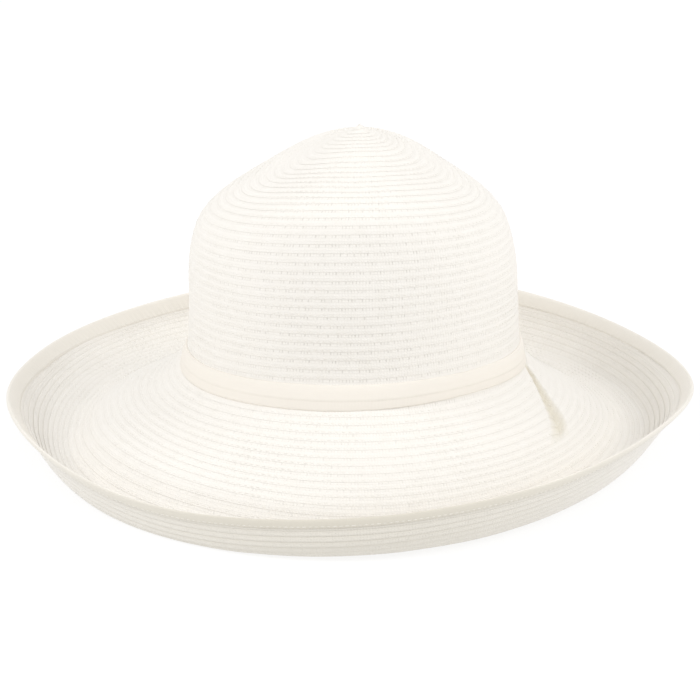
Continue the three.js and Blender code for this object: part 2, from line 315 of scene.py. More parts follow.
# Section of the strip folded over the rim: distance back from the rim, height over the outer
# face, and distance beyond the rim, in millimetres
BINDING_SECTION = (
    (8.0, -1.00, 0.0),
    (7.95, -0.20, 0.0),
    (7.7, 0.22, 0.0),
    (6.6, 0.32, 0.0),
    (5.6, 0.38, 0.0),
    (3.6, 0.40, 0.0),
    (1.8, 0.38, 0.0),
    (0.5, 0.30, 0.0),
    (0.0, 0.12, 0.34),
    (0.0, -0.30, 0.62),
    (0.0, -0.70, 0.70),
    (0.0, -1.10, 0.62),
    (0.0, -1.50, 0.34),
    (0.5, -1.72, 0.0),
    (1.6, -1.80, 0.0),
    (2.6, -1.78, 0.0),
    (3.3, -1.66, 0.0),
    (3.9, -1.70, 0.0),
    (4.2, -1.50, 0.0),
    (4.3, -1.10, 0.0),
    (3.9, -0.95, 0.0),
    (1.6, -0.95, 0.0),
    (0.3, -0.95, 0.0),
    (0.0, -0.70, 0.05),
    (0.3, -0.45, 0.0),
    (1.6, -0.40, 0.0),
    (4.5, -0.40, 0.0),
    (7.4, -0.45, 0.0),
)
BINDING_WIDEST_DEGREES = 225.0
BINDING_WIDTH_SWING = 0.10
BINDING_WANDER = {"size": 0.02, "waves": 5.0}
BINDING_PUCKER = {"back": 5.5, "spread": 2.5}
BINDING_PITCHES = (0.0011, 0.0004)
BINDING_UNDERSIDE = -0.5
BINDING_STEPS = 1440
BINDING_STITCH_STEP = 4
BINDING_STITCH_END_DEGREES = 359.9
BINDING_STITCH_BACK = {"inside": 6.6, "outside": 3.3}
BINDING_STITCH_LIFT = {"inside": 0.33, "outside": -1.68}


# The floor in metres, its tone and its own light, and the light that comes from all round
FLOOR_HALF_WIDTH = 30.0
FLOOR_TONE = 0.25
FLOOR_GLOW = 0.76
FLOOR_ROUGHNESS = 0.9
SURROUND_STRENGTH = 0.85

# Soft lights: name, place and width in metres, and power in watts
LIGHTS = (
    ("front light", (0.0, -1.0, 1.9), 1.6, 2.4),
    ("left light", (-1.7, -0.4, 1.6), 1.2, 13.0),
    ("right light", (1.7, -0.4, 1.6), 1.2, 13.5),
)

# The camera's sensor in millimetres, and how far it sees in metres
SENSOR_WIDTH = 36.0
CAMERA_REACH = 100.0


def rim_row_width(degrees):
    """Width of a braid row near the rim at the directions, in millimetres."""
    inner = face_points(np.full(len(degrees), RIM_ROW - 2.0), degrees)
    outer = face_points(np.full(len(degrees), float(RIM_ROW)), degrees)
    return np.linalg.norm(outer - inner, axis=1) / 2.0 / MM


def smooth_step(value):
    t = np.clip(value, 0.0, 1.0)
    return t * t * (3.0 - 2.0 * t)


def along(sections, columns, column, rows):
    """A smooth curve through one column of a table of sections."""
    at = np.array([section[0] for section in sections], float)
    value = np.array([section[columns.index(column)] for section in sections], float)
    last = len(at) - 1
    before = np.maximum(np.arange(last + 1) - 1, 0)
    after = np.minimum(np.arange(last + 1) + 1, last)
    slope = (value[after] - value[before]) / (at[after] - at[before])
    index = np.searchsorted(at[1:last], rows, side="left")
    span = at[index + 1] - at[index]
    t = (rows - at[index]) / span
    bend = t * t * (3.0 - 2.0 * t)
    return (
        value[index] * (1.0 - bend)
        + value[index + 1] * bend
        + span * slope[index] * t * (1.0 - t) * (1.0 - t)
        - span * slope[index + 1] * t * t * (1.0 - t)
    )


def ring(rows):
    """Reach and height of the braid rows at the sides, the front and the back."""
    on_crown = rows <= FOOT_ROW
    crown_rows = np.minimum(rows, FOOT_ROW)
    brim_rows = np.maximum(rows, FOOT_ROW)
    half = {"side": CROWN_HALF_WIDTH, "front": CROWN_HALF_LENGTH, "back": CROWN_HALF_LENGTH}
    found = {}
    for place in ("side", "front", "back"):
        crown_reach = half[place] * along(CROWN_SECTIONS, CROWN_COLUMNS, place, crown_rows)
        up = along(CROWN_SECTIONS, CROWN_COLUMNS, "up_" + place, crown_rows)
        crown_height = FOOT_HEIGHT[place] + (TIP_HEIGHT - FOOT_HEIGHT[place]) * up
        share = along(BRIM_SECTIONS, BRIM_COLUMNS, place, brim_rows)
        brim_reach = FOOT_REACH[place] + (RIM_REACH[place] - FOOT_REACH[place]) * share
        brim_height = FOOT_HEIGHT[place] * along(
            BRIM_SECTIONS, BRIM_COLUMNS, "foot_" + place, brim_rows
        ) + RIM_HEIGHT * along(BRIM_SECTIONS, BRIM_COLUMNS, "rim_" + place, brim_rows)
        found[place] = (
            np.where(on_crown, crown_reach, brim_reach),
            np.where(on_crown, crown_height, brim_height),
        )
    return found


def lift_weight(lift, rows, degrees):
    """How much of a lift is felt at the rows and directions."""
    off = (degrees - lift["toward"] + 540.0) % 360.0 - 180.0
    sideways = 0.5 + 0.5 * np.cos(off / lift["spread"] * math.pi)
    rising = smooth_step((rows - lift["start"]) / (lift["full"] - lift["start"]))
    fading = 1.0
    if lift["end"] is not None:
        fading = 1.0 - smooth_step((rows - lift["full"]) / (lift["end"] - lift["full"]))
    return np.where(np.abs(off) >= lift["spread"], 0.0, sideways * rising * fading)


def settled(height):
    """Height over the surface, eased to the pressed depth of the standing row."""
    easing = 3.0 * SETTLE
    above = height + SETTLE
    eased = (above + easing) ** 2 / (4.0 * easing) - SETTLE
    return np.where(above >= easing, height, np.where(above <= -easing, -SETTLE, eased))


def crease_at(rows, degrees):
    """Depth of the folded dent, in millimetres."""
    span = CREASE_ROWS["end"] - CREASE_ROWS["start"]
    way = np.clip((rows - CREASE_ROWS["start"]) / span, 0.0, 1.0)
    middle = CREASE_DEGREES["start"] + (CREASE_DEGREES["end"] - CREASE_DEGREES["start"]) * way
    opening = CREASE_HALF_SPREAD["end"] - CREASE_HALF_SPREAD["start"]
    half_spread = CREASE_HALF_SPREAD["start"] + opening * way
    off = np.minimum(np.abs(degrees % 360.0 - middle) / half_spread, 1.0)
    deepening = smooth_step(
        (rows - CREASE_ROWS["start"]) / (CREASE_ROWS["full"] - CREASE_ROWS["start"])
    )
    fading = 1.0 - smooth_step(
        (rows - CREASE_ROWS["fade"]) / (CREASE_ROWS["end"] - CREASE_ROWS["fade"])
    )
    return CREASE_DEPTH * deepening * fading * (1.0 - off) ** CREASE_SHARPNESS


def face_points(rows, degrees):
    """Points of the hat's upper and outer face, in metres in the frame."""
    angle = np.radians(degrees)
    across, forward = np.sin(angle), np.cos(angle)
    found = ring(rows)
    (side, side_height) = found["side"]
    (front, front_height) = found["front"]
    (back, back_height) = found["back"]
    lengthways = (front + back) / 2.0 + (front - back) / 2.0 * forward
    height = (
        side_height
        + ((front_height + back_height) / 2.0 - side_height) * forward**2
        + (front_height - back_height) / 2.0 * forward
    )
    out = np.zeros_like(height)
    for values in LIFTS:
        lift = dict(zip(LIFT_COLUMNS, values))
        weight = lift_weight(lift, rows, degrees)
        height = height + weight * lift["rise"] * TWIST_HEIGHT
        out = out + weight * lift["out"] * RIM_HEIGHT
    x = (side + out) * across + TIP_LEAN * (1.0 - smooth_step(rows / SHOULDER_ROW))
    y = -(lengthways + out) * forward
    z = settled(height) + WALL
    return np.stack([x, y, z], axis=-1) * MM + FRAME_SHIFT


def unit(vectors):
    return vectors / np.linalg.norm(vectors, axis=-1, keepdims=True)


def face_directions(rows, degrees):
    """Directions at points of that face: onwards to the next row, and out of the face."""
    step = DIRECTION_STEP
    safe = np.clip(rows, step, RIM_ROW - step)
    onwards = face_points(safe + step, degrees) - face_points(safe - step, degrees)
    around = face_points(safe, degrees + step) - face_points(safe, degrees - step)
    return unit(onwards), unit(np.cross(onwards, around))


def frame_shift():
    """How far the frame's origin is from the crown's axis, read from the CAD crown's tip."""
    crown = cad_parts["crown"]
    tip = max((vertex.co for vertex in crown.data.vertices), key=lambda co: co.z)
    return np.array([tip.x - TIP_LEAN * MM, tip.y, 0.0])


FRAME_SHIFT = frame_shift()


def polyline(name, points, attributes):
    """A mesh of joined edges through the points, with its named point attributes."""
    mesh = bpy.data.meshes.new(name)
    edges = [(i, i + 1) for i in range(len(points) - 1)]
    mesh.from_pydata(points.tolist(), edges, [])
    for key, values in attributes.items():
        kind = "FLOAT" if values.ndim == 1 else "FLOAT_VECTOR"
        field = "value" if values.ndim == 1 else "vector"
        attribute = mesh.attributes.new(key, kind, "POINT")
        attribute.data.foreach_set(field, values.astype(np.float32).ravel())
    made = bpy.data.objects.new(name, mesh)
    bpy.context.scene.collection.objects.link(made)
    return made


def section_object(name, section):
    """A closed section as a mesh loop whose points carry their share and lift."""
    share = np.array([point[0] for point in section])
    lift = np.array([point[1] for point in section]) * MM
    points = np.stack([share, lift, np.zeros(len(section))], axis=-1)
    under = (np.arange(len(section)) > share.argmax()).astype(float)
    unstepped = under * (lift < BRAID_UNDERSIDE * MM)
    marks = {"share": share, "lift": lift, "under": under, "unstepped": unstepped}
    made = polyline(name, points, marks)
    made.data.edges.add(1)
    made.data.edges[-1].vertices = (len(section) - 1, 0)
    return made


class Tree:
    """Adds nodes to a node tree, each with its values and links in one call."""

    def __init__(self, tree):
        self.tree = tree

    def add(self, kind, inputs=None, **settings):
        node = self.tree.nodes.new(kind)
        node.location = (180.0 * (len(self.tree.nodes) % 12), -160.0 * (len(self.tree.nodes) // 12))
        for key, value in settings.items():
            setattr(node, key, value)
        for key, value in (inputs or {}).items():
            self.feed(node.inputs[key], value)
        return node

    def feed(self, socket, value):
        if isinstance(value, bpy.types.NodeSocket):
            self.tree.links.new(value, socket)
        else:
            socket.default_value = value

    def math(self, operation, *values, clamp=False):
        node = self.add("ShaderNodeMath", operation=operation, use_clamp=clamp)
        for index, value in enumerate(values):
            self.feed(node.inputs[index], value)
        return node.outputs[0]

    def vector(self, operation, *values):
        node = self.add("ShaderNodeVectorMath", operation=operation)
        for index, value in enumerate(values):
            self.feed(node.inputs["Scale" if operation == "SCALE" and index == 1 else index], value)
        return node.outputs[0]

    def range(self, value, low, high, to_low=0.0, to_high=1.0):
        node = self.add(
            "ShaderNodeMapRange",
            {"Value": value, "From Min": low, "From Max": high, "To Min": to_low, "To Max": to_high},
            interpolation_type="SMOOTHSTEP",
        )
        return node.outputs["Result"]

    def mix(self, factor, first, second):
        node = self.add("ShaderNodeMix", data_type="RGBA")
        self.feed(node.inputs[0], factor)
        self.feed(node.inputs[6], first)
        self.feed(node.inputs[7], second)
        return node.outputs[2]

    def attribute(self, name, kind):
        """A named attribute in a Geometry Nodes tree."""
        node = self.add("GeometryNodeInputNamedAttribute", {"Name": name}, data_type=kind)
        return node.outputs["Attribute"]

    def mark(self, name):
        """A number that the piece's points carry, in a material."""
        node = self.add("ShaderNodeAttribute", attribute_name=name, attribute_type="GEOMETRY")
        return node.outputs["Fac"]

    def wave(self, value, pitch):
        """A sine wave along a length, once in each pitch."""
        turns = self.math("DIVIDE", value, pitch)
        return self.math("SINE", self.math("MULTIPLY", turns, math.tau))

    def noise_along(self, length, per_metre, detail):
        """Noise along a length."""
        place = self.math("MULTIPLY", length, per_metre)
        noise = self.add(
            "ShaderNodeTexNoise", {"W": place, "Detail": detail}, noise_dimensions="1D"
        )
        return noise.outputs[0]


def geometry_tree(name, sockets):
    """An empty Geometry Nodes tree with geometry in and out and these named inputs."""
    tree = bpy.data.node_groups.new(name, "GeometryNodeTree")
    tree.interface.new_socket("Geometry", in_out="OUTPUT", socket_type="NodeSocketGeometry")
    tree.interface.new_socket("Geometry", in_out="INPUT", socket_type="NodeSocketGeometry")
    for label, kind, value in sockets:
        socket = tree.interface.new_socket(label, in_out="INPUT", socket_type=kind)
        if value is not None:
            socket.default_value = value
    build = Tree(tree)
    return build, build.add("NodeGroupInput").outputs


def finish_tree(build, geometry, material):
    """Ends a tree with its instances made real and its material set."""
    real = build.add("GeometryNodeRealizeInstances", {"Geometry": geometry})
    painted = build.add(
        "GeometryNodeSetMaterial", {"Geometry": real.outputs[0], "Material": material}
    )
    build.add("NodeGroupOutput", {"Geometry": painted.outputs[0]})
    return build.tree


def strip_tree():
    """Sweeps a section along a path whose points say how wide and which way up it lies."""
    build, given = geometry_tree(
        "Strip Along Path",
        (
            ("Section", "NodeSocketObject", None),
            ("Unevenness", "NodeSocketFloat", 0.0003),
            ("Unevenness Scale", "NodeSocketFloat", 30.0),
            ("Lowest", "NodeSocketFloat", 0.0),
            ("Material", "NodeSocketMaterial", None),
        ),
    )
    path = build.add("GeometryNodeMeshToCurve", {"Mesh": given["Geometry"]})
    section = build.add("GeometryNodeObjectInfo", {"Object": given["Section"]})
    section_curve = build.add("GeometryNodeMeshToCurve", {"Mesh": section.outputs["Geometry"]})
    swept = build.add(
        "GeometryNodeCurveToMesh",
        {
            "Curve": path.outputs[0],
            "Profile Curve": section_curve.outputs[0],
            "Fill Caps": True,
        },
    )
    share = build.attribute("share", "FLOAT")
    lift = build.attribute("lift", "FLOAT")
    inner_up = build.attribute("inner_up", "FLOAT_VECTOR")
    outer_up = build.attribute("outer_up", "FLOAT_VECTOR")
    turn = build.vector("SCALE", build.vector("SUBTRACT", outer_up, inner_up), share)
    up = build.vector("NORMALIZE", build.vector("ADD", inner_up, turn))
    edge = build.attribute("inner_edge", "FLOAT_VECTOR")
    over = build.vector("SCALE", build.attribute("across", "FLOAT_VECTOR"), share)
    middle = build.vector("ADD", edge, over)
    noise = build.add(
        "ShaderNodeTexNoise",
        {"Vector": middle, "Scale": given["Unevenness Scale"], "Detail": 1.0},
    )
    wave = build.math("SUBTRACT", noise.outputs[0], 0.5)
    unstepped = build.attribute("unstepped", "FLOAT")
    step = build.math("MAXIMUM", build.attribute("step", "FLOAT"), unstepped)
    stepped_lift = build.math("MULTIPLY", lift, step)
    height = build.math("MULTIPLY_ADD", wave, given["Unevenness"], stepped_lift)
    place = build.vector("ADD", middle, build.vector("SCALE", up, height))
    split = build.add("ShaderNodeSeparateXYZ", {"Vector": place})
    rested = build.math("MAXIMUM", split.outputs["Z"], given["Lowest"])
    rested_place = build.add(
        "ShaderNodeCombineXYZ",
        {"X": split.outputs["X"], "Y": split.outputs["Y"], "Z": rested},
    )
    placed = build.add(
        "GeometryNodeSetPosition",
        {"Geometry": swept.outputs[0], "Position": rested_place.outputs[0]},
    )
    smooth = build.add("GeometryNodeSetShadeSmooth", {"Geometry": placed.outputs[0]})
    run_and_share = build.add(
        "ShaderNodeCombineXYZ", {"X": build.attribute("run", "FLOAT"), "Y": share}
    )
    mapped = build.add(
        "GeometryNodeStoreNamedAttribute",
        {"Geometry": smooth.outputs[0], "Name": "UVMap", "Value": run_and_share.outputs[0]},
        data_type="FLOAT2",
        domain="CORNER",
    )
    return finish_tree(build, mapped.outputs[0], given["Material"])


def stitch_tree():
    """Lays small stitches along a path at an even pitch."""
    build, given = geometry_tree(
        "Run Of Stitches",
        (
            ("Pitch", "NodeSocketFloat", 0.0032),
            ("Length", "NodeSocketFloat", 0.0023),
            ("Width", "NodeSocketFloat", 0.0004),
            ("Height", "NodeSocketFloat", 0.0003),
            ("Seed", "NodeSocketInt", 7),
            ("Material", "NodeSocketMaterial", None),
        ),
    )
    path = build.add("GeometryNodeMeshToCurve", {"Mesh": given["Geometry"]})
    spaced = build.add(
        "GeometryNodeResampleCurve",
        {"Curve": path.outputs[0], "Length": given["Pitch"]},
        mode="LENGTH",
    )
    grain = build.add("GeometryNodeMeshIcoSphere", {"Radius": 0.5, "Subdivisions": 1})
    heading = build.add("GeometryNodeInputTangent")
    turned = build.add(
        "FunctionNodeAxesToRotation",
        {
            "Primary Axis": build.attribute("up", "FLOAT_VECTOR"),
            "Secondary Axis": heading.outputs[0],
        },
        primary_axis="Z",
        secondary_axis="X",
    )
    size = build.add(
        "ShaderNodeCombineXYZ",
        {"X": given["Length"], "Y": given["Width"], "Z": given["Height"]},
    )
    chance = build.add("FunctionNodeRandomValue", {"Seed": given["Seed"]}, data_type="FLOAT")
    chance.inputs[2].default_value = STITCH_SIZE_SPREAD[0]
    chance.inputs[3].default_value = STITCH_SIZE_SPREAD[1]
    laid = build.add(
        "GeometryNodeInstanceOnPoints",
        {
            "Points": spaced.outputs[0],
            "Instance": grain.outputs[0],
            "Rotation": turned.outputs[0],
            "Scale": build.vector("SCALE", size.outputs[0], chance.outputs[1]),
        },
    )
    real = build.add("GeometryNodeRealizeInstances", {"Geometry": laid.outputs[0]})
    smooth = build.add("GeometryNodeSetShadeSmooth", {"Geometry": real.outputs[0]})
    return finish_tree(build, smooth.outputs[0], given["Material"])


def run_tree(tree, source, name, values, node_names=()):
    """Runs a tree on an object, turns the result into a plain piece and rides it on the hat."""
    modifier = source.modifiers.new(tree.name, "NODES")
    modifier.node_group = tree
    for item in tree.interface.items_tree:
        if item.item_type == "SOCKET" and item.in_out == "INPUT" and item.name in values:
            modifier[item.identifier] = values[item.name]
    bpy.context.view_layer.update()
    graph = bpy.context.evaluated_depsgraph_get()
    mesh = bpy.data.meshes.new_from_object(source.evaluated_get(graph))
    source.modifiers.remove(modifier)
    bpy.data.objects.remove(source)
    mesh.name = name
    if not mesh.polygons:
        raise RuntimeError(f"{name} came out empty")
    if "turn" in mesh.attributes:
        raise_braid(mesh)
    kept = {"position", "UVMap", "material_index", "sharp_face", *BRAID_MARKS}
    for attribute in [a.name for a in mesh.attributes if a.name not in kept]:
        if not attribute.startswith("."):
            mesh.attributes.remove(mesh.attributes[attribute])
    piece = bpy.data.objects.new(name, mesh)
    bpy.context.scene.collection.objects.link(piece)
    return settle_piece(piece, node_names)


def settle_piece(piece, node_names=()):
    """Rides a finished piece on the hat and hides the CAD nodes that it stands for."""
    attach(piece, "root")
    if node_names:
        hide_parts(*node_names)
    return piece


def stepped(table, column, places):
    """Values of one column of a table whose first column is the place."""
    at = [line[0] for line in table]
    return np.interp(places, at, [line[column] for line in table])


def lap_value(column, rows):
    return stepped(LAPS, LAP_COLUMNS.index(column), rows)


def rows_of_turns(turns, degrees):
    """Rows of the hat's face that the braid has reached after these turns."""
    rows = stepped(TURN_ROWS, 1, turns)
    for values in DRIFTS:
        drift = dict(zip(DRIFT_COLUMNS, values))
        rows = rows + lift_weight(drift, turns, degrees % 360.0) * drift["rows"]
    return np.clip(rows, 0.0, RIM_ROW - 0.1)


def facing_front(degrees):
    """One at the front, fading to nothing at the sides."""
    return np.maximum(np.cos(np.radians(degrees)), 0.0) ** 2


def depth_at(kind, rows, degrees):
    """How deep the painted shade beside the laps or in the gaps is, fading from the front to the sides.
    """
    front = lap_value(kind + "_front", rows)
    side = lap_value(kind + "_side", rows)
    return side + (front - side) * facing_front(degrees)


def under_painted_shade_depth(degrees):
    """How deep the painted shade on the underside is, fading from the front to the sides."""
    return UNDER_PAINTED_SHADE_SIDE + (1.0 - UNDER_PAINTED_SHADE_SIDE) * facing_front(degrees)


def turns_of_braid(first, last):
    """Turns of the spiral at which the braid has a section, closer in the folded dent."""
    turns = [first]
    first_turn, last_turn = CREASE_STEP_TURNS
    first_degrees, last_degrees = CREASE_STEP_DEGREES
    while turns[-1] < last:
        turn = turns[-1]
        steps = max(steps for start, steps in BRAID_STEPS if turn >= start)
        degrees = (-360.0 * turn) % 360.0
        if first_turn < turn < last_turn and first_degrees < degrees < last_degrees:
            steps = CREASE_STEPS
        turns.append(turn + 1.0 / steps)
    turns[-1] = last
    return np.array(turns)


def rows_in_braid(turns, shares):
    """Rows of the hat's face under a share of the braid's width."""
    return rows_of_turns(turns - BRAID_LAP + shares * (1.0 + BRAID_LAP), -360.0 * turns)


def rise_of_braid(turns, shares):
    """What the folded dent takes off and the knob at the tip adds to the braid's height."""
    rows = rows_in_braid(turns, shares)
    knob = KNOB_HEIGHT * (1.0 - smooth_step(rows / KNOB_ROWS))
    return (knob - crease_at(rows, -360.0 * turns)) * MM


def braid_path(first, last):
    """The braid's path, as the hidden edge of the strip and the way across to its open edge."""
    turns = turns_of_braid(first, last)
    degrees = -360.0 * turns
    inner_rows = rows_of_turns(turns - BRAID_LAP, degrees)
    outer_rows = rows_of_turns(turns + 1.0, degrees)
    inner = face_points(inner_rows, degrees)
    outer = face_points(outer_rows, degrees)
    middle = (inner + outer) / 2.0
    steps = np.linalg.norm(np.diff(middle, axis=0), axis=1)
    return {
        "inner_edge": inner,
        "across": outer - inner,
        "inner_up": face_directions(inner_rows, degrees)[1],
        "outer_up": face_directions(outer_rows, degrees)[1],
        "run": np.concatenate([[0.0], np.cumsum(steps)]),
        "turn": turns,
        "step": lap_value("step", outer_rows),
    }


def braid_stitch_path(path):
    """The line of stitches near the open edge of the braid."""
    up = unit(path["outer_up"] * STITCH_SHARE + path["inner_up"] * (1.0 - STITCH_SHARE))
    degrees = -360.0 * path["turn"]
    points = face_points(rows_in_braid(path["turn"], STITCH_SHARE), degrees)
    points[:, 2] += rise_of_braid(path["turn"], STITCH_SHARE)
    return points, up


def keep_marks(mesh, marks):
    """Stores numbers on a mesh's points for its material."""
    for name, values in marks.items():
        attribute = mesh.attributes.new(name, "FLOAT", "POINT")
        attribute.data.foreach_set("value", values.astype(np.float32))


def vectors_of(mesh, name):
    """Values of a mesh's vector attribute, one row for each point."""
    values = np.empty(len(mesh.vertices) * 3, np.float32)
    mesh.attributes[name].data.foreach_get("vector", values)
    return values.reshape(-1, 3).astype(float)


def raise_braid(mesh):
    """Bends a swept braid to the hat's face, with its folded dent and the knob at its start."""
    count = len(mesh.vertices)
    turns = np.empty(count, np.float32)
    shares = np.empty(count, np.float32)
    places = np.empty(count * 3, np.float32)
    mesh.attributes["turn"].data.foreach_get("value", turns)
    mesh.attributes["share"].data.foreach_get("value", shares)
    mesh.vertices.foreach_get("co", places)
    turns = turns.astype(float)
    degrees = -360.0 * turns
    rows = rows_in_braid(turns, shares)
    flat = vectors_of(mesh, "inner_edge") + vectors_of(mesh, "across") * shares[:, None]
    places = places.reshape(-1, 3) + face_points(rows, degrees) - flat
    places[:, 2] = np.maximum(places[:, 2] + rise_of_braid(turns, shares), 0.0)
    mesh.vertices.foreach_set("co", places.astype(np.float32).ravel())
    # Depths of the painted shade beside the laps, in the gaps, in the folded dent and on the underside
    marks = {
        "lap_painted_shade_depth": depth_at("lap", rows, degrees),
        "gap_painted_shade_depth": depth_at("gaps", rows, degrees),
        "fold": np.sqrt(crease_at(rows, degrees) / CREASE_DEPTH),
        "under_painted_shade_weight": under_painted_shade_depth(degrees),
    }
    keep_marks(mesh, marks)
    mesh.update()


def plait_group():
    """Shader group: the plaited weave of the braid, from its length and its width."""
    tree = bpy.data.node_groups.new("Plaited Weave", "ShaderNodeTree")
    for label, value in (
        ("Rib Pitch", 0.0015),
        ("Columns", 4.0),
        ("Slant", 0.5),
        ("Hole Pitch", 0.0016),
        ("Hole Share", 0.42),
    ):
        socket = tree.interface.new_socket(label, in_out="INPUT", socket_type="NodeSocketFloat")
        socket.default_value = value
    for label in ("Height", "Holes", "Lap", "Tone"):
        tree.interface.new_socket(label, in_out="OUTPUT", socket_type="NodeSocketFloat")
    build = Tree(tree)
    given = build.add("NodeGroupInput").outputs
    place = build.add("ShaderNodeUVMap", uv_map="UVMap")
    split = build.add("ShaderNodeSeparateXYZ", {"Vector": place.outputs[0]})
    run, share = split.outputs["X"], split.outputs["Y"]
    column = build.math("FRACT", build.math("MULTIPLY", share, given["Columns"]))
    fold = build.math("ABSOLUTE", build.math("MULTIPLY_ADD", column, 2.0, -1.0))
    ribs = build.math("DIVIDE", run, given["Rib Pitch"])
    phase = build.math("MULTIPLY_ADD", fold, given["Slant"], ribs)
    swell = build.math("SINE", build.math("MULTIPLY", phase, math.tau))
    rib = build.math("MULTIPLY_ADD", swell, 0.5, 0.5)
    valley = build.math("SUBTRACT", 1.0, build.math("POWER", fold, RIB_VALLEY_SHARPNESS))
    raised = build.math("MULTIPLY_ADD", rib, RIB_RISE, 1.0 - RIB_RISE)
    height = build.math("MULTIPLY", raised, valley)
    spot = build.math("FRACT", build.math("DIVIDE", run, given["Hole Pitch"]))
    beside = build.math("DIVIDE", build.math("SUBTRACT", spot, 0.5), GAP_HALF_LENGTH)
    off_line = build.math("SUBTRACT", share, given["Hole Share"])
    off_line = build.math("DIVIDE", off_line, GAP_HALF_WIDTH)
    far = build.math(
        "SQRT",
        build.math("ADD", build.math("POWER", beside, 2.0), build.math("POWER", off_line, 2.0)),
    )
    patch = build.noise_along(run, GAP_PATCHES_PER_METRE, 2.0)
    holes = build.math(
        "MULTIPLY", build.range(far, *GAP_EDGE), build.range(patch, *GAP_PATCH_LEVELS)
    )
    # Mask of the painted shade beside the laps, on the upper face and on the underside
    near_lap = build.math("MULTIPLY", build.range(share, *LAP_NEAR), 1.0 - LAP_BEYOND_WEIGHT)
    beyond_lap = build.range(share, *LAP_BEYOND)
    above = build.math("MULTIPLY_ADD", beyond_lap, LAP_BEYOND_WEIGHT, near_lap)
    lap = build.add("ShaderNodeMix", data_type="FLOAT")
    build.feed(lap.inputs[0], build.mark("under"))
    build.feed(lap.inputs[2], above)
    build.feed(lap.inputs[3], build.range(share, *LAP_BELOW))
    tone = build.noise_along(run, TONES_PER_METRE, 3.0)
    build.add(
        "NodeGroupOutput",
        {"Height": height, "Holes": holes, "Lap": lap.outputs[0], "Tone": tone},
    )
    return tree


def cloth_group():
    """Shader group: a close plain weave or ribs, from a strip's length and width."""
    tree = bpy.data.node_groups.new("Close Weave", "ShaderNodeTree")
    for label, value in (("Warp Pitch", 0.0006), ("Weft Pitch", 0.0006), ("Strip Width", 0.0135)):
        socket = tree.interface.new_socket(label, in_out="INPUT", socket_type="NodeSocketFloat")
        socket.default_value = value
    for label in ("Height", "Tone"):
        tree.interface.new_socket(label, in_out="OUTPUT", socket_type="NodeSocketFloat")
    build = Tree(tree)
    given = build.add("NodeGroupInput").outputs
    place = build.add("ShaderNodeUVMap", uv_map="UVMap")
    split = build.add("ShaderNodeSeparateXYZ", {"Vector": place.outputs[0]})
    across = build.math("MULTIPLY", split.outputs["Y"], given["Strip Width"])
    warp = build.wave(split.outputs["X"], given["Warp Pitch"])
    weft = build.wave(across, given["Weft Pitch"])
    height = build.math("MULTIPLY_ADD", build.math("ADD", warp, weft), 0.25, 0.5)
    slub = build.add(
        "ShaderNodeTexNoise",
        {"Vector": place.outputs[0], "Scale": SLUBS_PER_METRE, "Detail": 3.0},
    )
    build.add("NodeGroupOutput", {"Height": height, "Tone": slub.outputs[0]})
    return tree


def new_material(name, roughness, sheen):
    """A material with its Principled shader, and a builder for its nodes."""
    made = bpy.data.materials.new(name)
    made.use_nodes = True
    shader = made.node_tree.nodes["Principled BSDF"]
    shader.inputs["Roughness"].default_value = roughness
    shader.inputs["Sheen Weight"].default_value = sheen
    shader.inputs["Specular IOR Level"].default_value = SPECULAR_LEVEL
    return made, Tree(made.node_tree), shader


def under_painted_shade_factor(build, most):
    """Share of the painted shade on the underside of a piece."""
    both = build.math("MULTIPLY", build.mark("under"), build.mark("under_painted_shade_weight"))
    return build.math("MULTIPLY", both, most)


def braid_material(name, sizes):
    """Straw braid, with painted shade below, beside the laps, in the gaps of the plait and in the
    folded dent.
    """
    made, build, shader = new_material(name, BRAID_ROUGHNESS[0], BRAID_SHEEN)
    weave = build.add("ShaderNodeGroup", node_tree=bpy.data.node_groups["Plaited Weave"])
    weave.inputs["Rib Pitch"].default_value = sizes.rib_pitch
    weave.inputs["Hole Pitch"].default_value = sizes.hole_pitch
    tone = build.mix(weave.outputs["Tone"], tuple(sizes.straw_light), tuple(sizes.straw_deep))
    # Painted shade on the underside, deepest at the front
    tone = build.mix(under_painted_shade_factor(build, sizes.under_painted_shade_share), tone, tuple(sizes.painted_shade_colour))
    # Painted shade beside the laps
    lap = build.math("MULTIPLY", weave.outputs["Lap"], build.mark("lap_painted_shade_depth"))
    lap = build.math("MULTIPLY", lap, sizes.lap_painted_shade, clamp=True)
    tone = build.mix(lap, tone, tuple(sizes.painted_shade_colour))
    # Painted shade in the folded dent
    fold = build.math("MULTIPLY", build.mark("fold"), sizes.fold_painted_shade, clamp=True)
    tone = build.mix(fold, tone, tuple(sizes.fold_painted_shade_colour))
    # Painted shade in the gaps of the plait
    gap_painted_shade = build.math("MULTIPLY", weave.outputs["Holes"], build.mark("gap_painted_shade_depth"))
    gap_painted_shade = build.math("MULTIPLY", gap_painted_shade, sizes.hole_painted_shade)
    build.feed(shader.inputs["Base Color"], build.mix(gap_painted_shade, tone, tuple(sizes.hole_painted_shade_colour)))
    height = build.math("SUBTRACT", weave.outputs["Height"], weave.outputs["Holes"])
    bump = build.add("ShaderNodeBump", {"Height": height, **BRAID_RELIEF})
    build.feed(shader.inputs["Normal"], bump.outputs[0])
    rough = build.range(weave.outputs["Height"], 0.0, 1.0, *BRAID_ROUGHNESS)
    build.feed(shader.inputs["Roughness"], rough)
    return made


